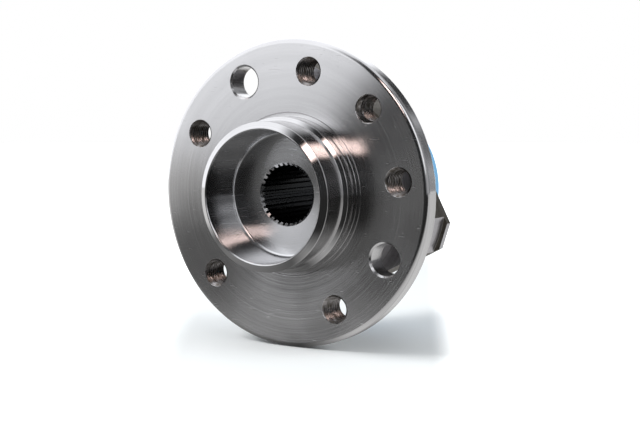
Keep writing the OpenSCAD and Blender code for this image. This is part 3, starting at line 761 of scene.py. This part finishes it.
def hub_zones(tree, radius, depth, rough, color):
    """Roughness and colour of the hub, changed on its pilots, rim and cup, with painted shade in
    the bore.
    """
    pilots = math_node(tree, "MULTIPLY", remap(tree, radius, 34.5 * MM, 35.0 * MM, 1.0, 0.0),
                       remap(tree, radius, 29.8 * MM, 30.0 * MM, 0.0, 1.0))
    rim = remap(tree, radius, 66.4 * MM, 67.0 * MM, 0.0, 0.5)
    fine = math_node(tree, "MAXIMUM", pilots, rim)
    rough = math_node(tree, "MULTIPLY", rough, remap(tree, fine, 0.0, 1.0, 1.0, FINE_TURNING))
    # the bore mask paints shade into the colour and adds a little roughness
    bore_shade = math_node(tree, "MULTIPLY", remap(tree, radius, 14.1 * MM, 14.3 * MM, 1.0, 0.0),
                      remap(tree, depth, -1.2 * MM, 0.6 * MM, 0.0, 1.0))
    color = blend_colors(tree, bore_shade, color, BORE_SHADE_COLOR)
    rough = math_node(tree, "ADD", rough, math_node(tree, "MULTIPLY", bore_shade, BORE_ROUGHNESS))
    in_cup = math_node(tree, "MULTIPLY", remap(tree, radius, 28.9 * MM, 29.3 * MM, 1.0, 0.0),
                       remap(tree, depth, -0.6 * MM, -0.4 * MM, 1.0, 0.0))
    return rough, blend_colors(tree, in_cup, color, CUP_COLOR)


# the bore's near-black colour is painted shade
print("oil darkens the bore to", BORE_SHADE_COLOR[:3])

# %% [markdown]
# ### Turned steel
# A lathe leaves fine rings. They spread a highlight across themselves, so a lamp shows as a
# bright fan from the middle outwards. The anisotropic setting does that; the rings themselves
# are a noise that changes only along the section.

# %% Turned steel
# each scratch pattern: its turn in degrees, length and width in mm, and where its peaks start
SCRATCHES = [(25.0, 9.0, 0.35, 0.74), (-50.0, 7.0, 0.3, 0.745), (80.0, 12.0, 0.3, 0.75)]
MARK_ROUGHNESS = 0.14


def turned_steel(name, color, roughness, anisotropy, zones=None):
    """Bare steel with rings, smudges and scratches; zones may change it by place."""
    material, tree, shader = new_finish(name, roughness, 1.0)
    place, radius, depth, along = lathe_coordinates(tree)
    fine = line_noise(tree, along, 1300.0, 2.0)
    bands = line_noise(tree, along, 240.0, 2.0)
    smudge = noise(tree, place, 30.0, 2.0)
    tone = math_node(tree, "ADD", remap(tree, bands, 0.3, 0.7, -0.02, 0.02),
                     remap(tree, smudge, 0.3, 0.7, -0.05, 0.05))
    tone = math_node(tree, "ADD", tone, remap(tree, fine, 0.3, 0.7, -0.03, 0.03))
    shade = tree.nodes.new("ShaderNodeHueSaturation")
    shade.inputs["Color"].default_value = (*color, 1.0)
    tree.links.new(math_node(tree, "ADD", tone, 1.0), shade.inputs["Value"])
    finish_color = shade.outputs[0]
    rough = math_node(
        tree, "ADD", remap(tree, fine, 0.3, 0.7, roughness - 0.015, roughness + 0.015),
        remap(tree, smudge, 0.3, 0.7, -0.02, 0.03))
    marks = remap(tree, noise(tree, place, 330.0, 2.0), 0.73, 0.76, 0.0, 0.6)
    for scratch in SCRATCHES:
        marks = math_node(tree, "MAXIMUM", marks, scratches(tree, place, *scratch))
    rough = math_node(tree, "ADD", rough, math_node(tree, "MULTIPLY", marks, MARK_ROUGHNESS))
    if zones:
        rough, finish_color = zones(tree, radius, depth, rough, finish_color)
    tree.links.new(finish_color, shader.inputs["Base Color"])
    tree.links.new(rough, shader.inputs["Roughness"])
    tree.links.new(bump(tree, fine, 0.2, 0.002 * MM), shader.inputs["Normal"])
    tree.links.new(groove_direction(tree, place), shader.inputs["Tangent"])
    shader.inputs["Anisotropic"].default_value = anisotropy
    return material


hub_steel = turned_steel("turned steel", (0.57, 0.565, 0.565), 0.165, 0.9, zones=hub_zones)
bright_steel = turned_steel("ground steel", (0.66, 0.66, 0.67), 0.16, 0.3)
sheet_steel = turned_steel("drawn sheet", (0.52, 0.53, 0.55), 0.3, 0.4)
contact_metal = turned_steel("tinned contacts", (0.72, 0.66, 0.50), 0.28, 0.1)
print("metal finishes:", hub_steel.name, bright_steel.name, sheet_steel.name, contact_metal.name)

# %% [markdown]
# ### Forged steel
# The ring's flanks were never machined: they keep a dark, slightly brown skin with a grain of
# about a millimetre. Where the ring was turned, the bare metal shows. The two are mixed by
# place, because the same solid carries both: the lug ends by the way they face, the barrel and
# the two flat sides by radius and depth.

# %% Forged steel
SKIN_COLORS = (0.085, 0.075, 0.060, 1.0), (0.135, 0.125, 0.107, 1.0)
BARE_COLORS = (0.40, 0.39, 0.40, 1.0), (0.52, 0.51, 0.53, 1.0)


def forged_steel():
    """Dark forged skin, bare metal where the ring was turned."""
    material, tree, shader = new_finish("forged steel", 0.5, 1.0)
    place, radius, depth, along = lathe_coordinates(tree)
    grain = noise(tree, place, 900.0, 5.0, 0.65)
    stain = noise(tree, place, 180.0, 4.0, 0.6)
    skin = blend_colors(tree, remap(tree, stain, 0.35, 0.65, 0.0, 1.0), *SKIN_COLORS)
    rings = line_noise(tree, along, 700.0)
    bare = blend_colors(tree, remap(tree, rings, 0.3, 0.7, 0.0, 1.0), *BARE_COLORS)
    facing = tree.nodes.new("ShaderNodeTexCoord").outputs["Normal"]
    away = vector_node(tree, "NORMALIZE", vector_node(tree, "MULTIPLY", place, (1.0, 0.0, 1.0)))
    outward = math_node(tree, "MULTIPLY", remap(tree, radius, 59.0 * MM, 59.3 * MM, 0.0, 1.0),
                        remap(tree, vector_node(tree, "DOT_PRODUCT", facing, away),
                              0.8, 0.92, 0.0, 1.0))
    inward = remap(tree, radius, 42.3 * MM, 42.6 * MM, 1.0, 0.0)
    seat = remap(tree, depth, 39.8 * MM, 39.95 * MM, 0.0, 1.0)
    front = remap(tree, depth, 22.05 * MM, 22.2 * MM, 1.0, 0.0)
    machined = outward
    for part in (inward, seat, front):
        machined = math_node(tree, "MAXIMUM", machined, part)
    tree.links.new(blend_colors(tree, machined, skin, bare), shader.inputs["Base Color"])
    rough = math_node(tree, "ADD", remap(tree, machined, 0.0, 1.0, 0.55, 0.33),
                      remap(tree, grain, 0.3, 0.7, -0.05, 0.08))
    tree.links.new(rough, shader.inputs["Roughness"])
    height = math_node(tree, "MULTIPLY", grain, remap(tree, machined, 0.0, 1.0, 1.0, 0.1))
    tree.links.new(bump(tree, height, 0.6, 0.12 * MM), shader.inputs["Normal"])
    return material


ring_steel = forged_steel()
print("ring finish:", ring_steel.name)

# %% [markdown]
# ### Plastics and rubber
# Moulded plastic is never a flat colour: it has a fine grain, slightly cloudy pigment and
# patches that are more or less glossy. The same recipe with other numbers gives the blue cap,
# the black connector, the cages and the seals.

# %% Moulded materials
CLOUDINESS = 0.035


def moulded(name, color, roughness, grain_scale, grain_depth):
    """Plastic or rubber with cloudy pigment and a fine grain; grain depth in mm."""
    material, tree, shader = new_finish(name, roughness, 0.0)
    place = tree.nodes.new("ShaderNodeTexCoord").outputs["Object"]
    clouds = noise(tree, place, 60.0, 2.0)
    grain = noise(tree, place, grain_scale, 3.0)
    shade = tree.nodes.new("ShaderNodeHueSaturation")
    shade.inputs["Color"].default_value = (*color, 1.0)
    tree.links.new(remap(tree, clouds, 0.3, 0.7, 1.0 - CLOUDINESS, 1.0 + CLOUDINESS),
                   shade.inputs["Value"])
    tree.links.new(shade.outputs[0], shader.inputs["Base Color"])
    tree.links.new(remap(tree, grain, 0.3, 0.7, roughness - 0.06, roughness + 0.08),
                   shader.inputs["Roughness"])
    tree.links.new(bump(tree, grain, 0.35, grain_depth * MM), shader.inputs["Normal"])
    return material


blue_plastic = moulded("blue plastic", (0.17, 0.43, 0.70), 0.42, 1400.0, 0.02)
black_plastic = moulded("black plastic", (0.022, 0.022, 0.024), 0.4, 1600.0, 0.02)
cage_plastic = moulded("cage plastic", (0.66, 0.50, 0.27), 0.45, 900.0, 0.02)
seal_rubber = moulded("seal rubber", (0.02, 0.02, 0.022), 0.55, 1200.0, 0.03)
encoder_rubber = moulded("encoder rubber", (0.035, 0.035, 0.038), 0.5, 1000.0, 0.02)
print("moulded finishes:", blue_plastic.name, black_plastic.name, cage_plastic.name,
      seal_rubber.name, encoder_rubber.name)

# %% [markdown]
# ### Finishes on the pieces
# The record names a slot for every node, such as the steel of the balls or the plastic of the
# cages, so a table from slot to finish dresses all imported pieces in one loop. The three new
# pieces are dressed by hand, the hub with its second finish for the threads.

# %% Give every piece its finish
finishes = {
    "turned_steel": hub_steel, "forged_steel": ring_steel, "bearing_steel": bright_steel,
    "sheet_steel": sheet_steel, "magnetic_rubber": encoder_rubber,
    "seal_rubber": seal_rubber, "blue_plastic": blue_plastic,
    "black_plastic": black_plastic, "contact_metal": contact_metal,
    "cage_plastic": cage_plastic,
}
slot_of = {entry["node"]: entry["material_slot"] for entry in frame["record"]["subparts"]}


def dress(piece, *materials):
    """Gives a piece its finishes; the first one covers all faces without a slot of their own."""
    slots = [face.material_index for face in piece.data.polygons]
    piece.data.materials.clear()
    for material in materials:
        piece.data.materials.append(material)
    if len(materials) > 1:
        piece.data.polygons.foreach_set("material_index", slots)


for name, node in nodes.items():
    dress(node, finishes[slot_of[name]])
dress(hub_piece, hub_steel, thread_steel)
dress(ring_piece, ring_steel)
dress(cap_piece, blue_plastic)
print("dressed:", len(nodes), "packed pieces and 3 new ones in", len(finishes), "finishes")

# %% [markdown]
# ## Table, lamps and surroundings
# The photographed hub stands on a white table that fades into a white background, with a soft
# shadow to the right. Polished steel shows whatever is round it, so what the steel mirrors
# matters more than the lamps. Lamps could draw it all, but each would also light the table, so
# the two are kept apart: the lamps light the table and the matt pieces and leave no
# reflection, and a world that changes with direction is seen in reflections alone. First come
# short names for directions, which aim all of it.

# %% Directions for the surroundings
def heading(azimuth, elevation=0.0):
    """Unit vector; azimuth from straight in front of the hub towards +X, in degrees."""
    turn, rise = math.radians(azimuth), math.radians(elevation)
    return Vector((math.sin(turn) * math.cos(rise), -math.cos(turn) * math.cos(rise),
                   math.sin(rise)))


def beyond(tree, vector, direction, low, high):
    """0 where a vector points less than low along a direction, 1 where more than high."""
    return remap(tree, vector_node(tree, "DOT_PRODUCT", vector, tuple(direction)),
                 low, high, 0.0, 1.0)


def spot(tree, vector, direction, inner, outer):
    """1 inside a cone round a direction and 0 outside it, angles in degrees."""
    return beyond(tree, vector, direction, math.cos(math.radians(outer)),
                  math.cos(math.radians(inner)))


def both(tree, first, second):
    """The product of two masks, or a mask times its strength."""
    return math_node(tree, "MULTIPLY", first, second)


def strongest(tree, values):
    """The largest of several values."""
    result = values[0]
    for value in values[1:]:
        result = math_node(tree, "MAXIMUM", result, value)
    return result


RIGHT = heading(90.0)
BEHIND = heading(180.0)
# the bright wall fills the half of space on this side of a leaning plane
TOWARDS_WALL = Vector((-0.422, 0.268, 0.866))
DARK_ROOM = 0.03
print("the bright wall lies towards", [round(part, 2) for part in TOWARDS_WALL])

# %% [markdown]
# ### The table
# The table is one large disc, a hair below the lowest point of the hub, and plain white. It
# could curve up into a backdrop, but a flat disc is enough here, because the white of the
# background comes from the world.

# %% Lay the table
TABLE_GAP = 0.02 * MM
TABLE_RADIUS = 3.0
floor_z = cad_box[0].z
floor_work = bmesh.new()
bmesh.ops.create_circle(floor_work, cap_ends=True, segments=96, radius=TABLE_RADIUS)
bmesh.ops.translate(floor_work, vec=(0, 0, floor_z - TABLE_GAP), verts=floor_work.verts[:])
floor = piece_from("table", floor_work)
print("table", round(-floor_z / MM, 1), "mm below the spin axis")

# %% [markdown]
# ### What the camera sees of the table
# Near the hub the table shows its shadow; further off it has to end in pure white, as the
# paper of a product photograph does. More light would burn out the shadow too, so a glow that
# only the camera sees is added by place: to the right of the shadow, to the left, behind and
# in front.

# %% Fade the table to white
CAMERA_AZIMUTH = 32.4
SHADOW_SLANT = 0.1


def white_fade(tree, place):
    """1 where the table is pure white, 0 round the hub and its shadow."""
    aside = vector_node(tree, "DOT_PRODUCT", place, tuple(heading(CAMERA_AZIMUTH + 90.0)))
    away = vector_node(tree, "DOT_PRODUCT", place, tuple(heading(CAMERA_AZIMUTH + 180.0)))
    slant = math_node(tree, "SUBTRACT", aside, both(tree, away, SHADOW_SLANT))
    return strongest(tree, [remap(tree, slant, 0.063, 0.083, 0.0, 1.0),
                            remap(tree, aside, -0.08, -0.045, 1.0, 0.0),
                            remap(tree, away, 0.25, 0.6, 0.0, 1.0),
                            remap(tree, away, -0.3, -0.12, 1.0, 0.0)])


print("the camera looks from", CAMERA_AZIMUTH, "degrees to the right of the spin axis")

# %% [markdown]
# ### What the steel sees of the table
# In the steel the table is bright at the back and under the wall, and dark where the room
# stands in front of it. A table of one brightness would light the lower rim and the underside
# of the spigot evenly, where the photograph shows them dark.

# %% Brightness of the mirrored table
def mirrored_table(tree, place):
    """How bright each place of the table is when steel mirrors it."""
    behind = beyond(tree, place, BEHIND, 0.0, 0.06)
    front = both(tree, beyond(tree, place, BEHIND, -0.125, -0.005),
                 beyond(tree, place, RIGHT, -0.005, 0.035))
    under_wall = beyond(tree, place, TOWARDS_WALL, -0.03, 0.06)
    left = beyond(tree, place, heading(-80.0), -0.05, 0.05)
    distance = vector_node(tree, "LENGTH", place)
    near_left = both(tree, remap(tree, distance, 0.09, 0.26, 1.0, 0.0), left)
    haze = beyond(tree, place, heading(-100.0), -0.05, 0.12)
    bright = strongest(tree, [both(tree, front, 0.8), both(tree, behind, 0.8), under_wall,
                              both(tree, near_left, 0.29), both(tree, haze, 0.15)])
    # round the hub's foot the mirrored table is darkened: a painted shadow of the hub, seen only
    # in the steel
    painted_shadow_center = (0.005, 0.03, floor_z)
    to_painted_shadow = vector_node(tree, "LENGTH",
                             vector_node(tree, "SUBTRACT", place, painted_shadow_center))
    bright = both(tree, bright, remap(tree, to_painted_shadow, 0.02, 0.045, 0.35, 1.0))
    return strongest(tree, [bright, DARK_ROOM])


def seen_in_reflections(tree, ray):
    """1 for rays that a reflection or clear glass sends on, 0 for all others."""
    return math_node(tree, "MAXIMUM", ray.outputs["Is Glossy Ray"],
                     ray.outputs["Is Transmission Ray"])


print("the dark room mirrors at strength", DARK_ROOM)

# %% [markdown]
# ### The table's material
# One material holds both answers: a Light Path node tells which kind of ray asks, and a mix
# picks the lit white table or the mirrored one.

# %% Dress the table
def table_material():
    """White with the hub's shadow for the camera, bright and dark by place for steel."""
    material, tree, shader = new_finish("table white", 0.7, 0.0)
    shader.inputs["Base Color"].default_value = (0.86, 0.88, 0.88, 1.0)
    place = tree.nodes.new("ShaderNodeTexCoord").outputs["Object"]
    ray = tree.nodes.new("ShaderNodeLightPath")
    glow = tree.nodes.new("ShaderNodeEmission")
    tree.links.new(both(tree, white_fade(tree, place), ray.outputs["Is Camera Ray"]),
                   glow.inputs["Strength"])
    lit = tree.nodes.new("ShaderNodeAddShader")
    tree.links.new(shader.outputs[0], lit.inputs[0])
    tree.links.new(glow.outputs[0], lit.inputs[1])
    mirrored = tree.nodes.new("ShaderNodeEmission")
    tree.links.new(mirrored_table(tree, place), mirrored.inputs["Strength"])
    chosen = tree.nodes.new("ShaderNodeMixShader")
    tree.links.new(seen_in_reflections(tree, ray), chosen.inputs[0])
    tree.links.new(lit.outputs[0], chosen.inputs[1])
    tree.links.new(mirrored.outputs[0], chosen.inputs[2])
    tree.links.new(chosen.outputs[0], tree.nodes["Material Output"].inputs["Surface"])
    return material


dress(floor, table_material())
print("table finish:", floor.data.materials[0].name)

# %% [markdown]
# ### Lamps
# The shadow in the photograph is soft and falls to the right, so a small square lamp stands to
# the left, a larger and weaker one to the right, and a very large one overhead opens the shadow.
# None of them shows in the steel, where its square would give it away.

# %% Hang the lamps
def softbox(name, place, size, power):
    """Square lamp that points at the hub; size in metres, power in watts."""
    data = bpy.data.lights.new(name, "AREA")
    data.shape = "SQUARE"
    data.size = size
    data.energy = power
    lamp = bpy.data.objects.new(name, data)
    lamp.location = place
    lamp.rotation_euler = (-Vector(place)).to_track_quat("-Z", "Y").to_euler()
    lamp.visible_glossy = False
    bpy.context.scene.collection.objects.link(lamp)
    print(name, "lamp of", power, "W,", round(size * 1000), "mm wide")


softbox("key", heading(-54.0, 40.0) * 1.3, 0.45, 14.8)
softbox("fill", heading(110.0, 25.0) * 1.2, 0.6, 6.0)
softbox("top", heading(60.0, 75.0) * 1.2, 1.2, 5.0)

# %% [markdown]
# ### The room in the steel
# A bright wall stands to the left and behind, a paler one further back, and a lamp with a
# bright side wall to the right; the camera's own side is a dark room. Each is a mask over the
# directions of the world. Three soft dark spots stand for things in the way of the light. They
# were aimed by reading which direction each facet of the photographed steel mirrors.

# %% Build the mirrored room
world = bpy.data.worlds.new("studio")
bpy.context.scene.world = world
world.use_nodes = True
sky = world.node_tree
look = sky.nodes.new("ShaderNodeTexCoord").outputs["Generated"]
ROOM_COLOR = (0.98, 0.995, 1.035, 1.0)
# dark spots: direction, then the angles at which they are full and gone
DARK_SPOTS = [(heading(176.0, 27.0), 6.0, 16.0), (heading(160.0, 14.0), 1.0, 10.0),
              (heading(28.0, 68.0), 7.0, 12.0)]


def mirrored_room():
    """Colour of the room in each direction, without the window."""
    wall = both(sky, beyond(sky, look, TOWARDS_WALL, -0.045, 0.005),
                beyond(sky, look, heading(-108.0), -0.2, 0.15))
    wall = both(sky, wall, beyond(sky, look, heading(-119.0, 31.0), -0.04, 0.03))
    behind = beyond(sky, look, BEHIND, 0.0, 0.3)
    behind_left = both(sky, behind, beyond(sky, look, heading(-90.0), -0.06, 0.16))
    ceiling = beyond(sky, look, heading(0.0, 90.0), 0.8, 0.92)
    right_wall = beyond(sky, look, RIGHT, 0.5, 1.02)
    right_lamp = strongest(sky, [spot(sky, look, heading(58.0, 39.0), 12.0, 17.0),
                                 spot(sky, look, heading(63.0, 20.0), 8.0, 15.0)])
    haze = beyond(sky, look, heading(-100.0), 0.2, 0.42)
    bright = strongest(sky, [both(sky, wall, 1.6), both(sky, behind, 0.34),
                             both(sky, behind_left, 1.3), both(sky, ceiling, 1.2),
                             both(sky, right_lamp, 1.8), both(sky, right_wall, 0.52),
                             both(sky, haze, 0.14)])
    for direction, full, gone in DARK_SPOTS:
        shade = spot(sky, look, direction, full, gone)
        bright = both(sky, bright, math_node(sky, "SUBTRACT", 1.0, shade))
    room = sky.nodes.new("ShaderNodeHueSaturation")
    room.inputs["Color"].default_value = ROOM_COLOR
    sky.links.new(strongest(sky, [bright, DARK_ROOM]), room.inputs["Value"])
    return room.outputs[0]


room = mirrored_room()
print("mirrored room:", len(sky.nodes), "nodes")

# %% [markdown]
# ### The window in the steel
# One warm light above the camera draws the pink streak over the flange and the spigot. It is a
# cone with two weaker ones beside it, which give the streak its tail, and it is several times
# brighter than white, since the rings of the turning spread it thin.

# %% Open the window
WINDOW_COLOR = (5.9, 4.65, 4.3, 1.0)
BLACK = (0.0, 0.0, 0.0, 1.0)
# parts of the window: direction, angles at which they are full and gone, and strength
WINDOW_PARTS = [(heading(11.5, 31.5), 4.5, 8.5, 1.0), (heading(14.5, 38.5), 2.0, 6.5, 0.9),
                (heading(18.0, 44.0), 1.0, 5.5, 0.6)]
window = strongest(sky, [both(sky, spot(sky, look, direction, full, gone), strength)
                         for direction, full, gone, strength in WINDOW_PARTS])
window_light = blend_colors(sky, window, BLACK, WINDOW_COLOR)
print("window of", len(WINDOW_PARTS), "parts, colour", WINDOW_COLOR[:3])

# %% [markdown]
# ### Who sees what of the world
# Matt pieces and the table get an even, slightly blue light from all sides, which opens their
# shadows. Steel sees the room and its window. The camera sees white.

# %% Join the world
AMBIENT = (0.26, 0.28, 0.296, 1.0)
WHITE = (1.0, 1.0, 1.0, 1.0)
sky_ray = sky.nodes.new("ShaderNodeLightPath")
room_and_window = vector_node(sky, "ADD", room, window_light)
seen = blend_colors(sky, seen_in_reflections(sky, sky_ray), AMBIENT, room_and_window)
seen = blend_colors(sky, sky_ray.outputs["Is Camera Ray"], seen, WHITE)
sky.links.new(seen, sky.nodes["Background"].inputs["Color"])
print("world:", len(sky.nodes), "nodes, ambient", AMBIENT[:3])
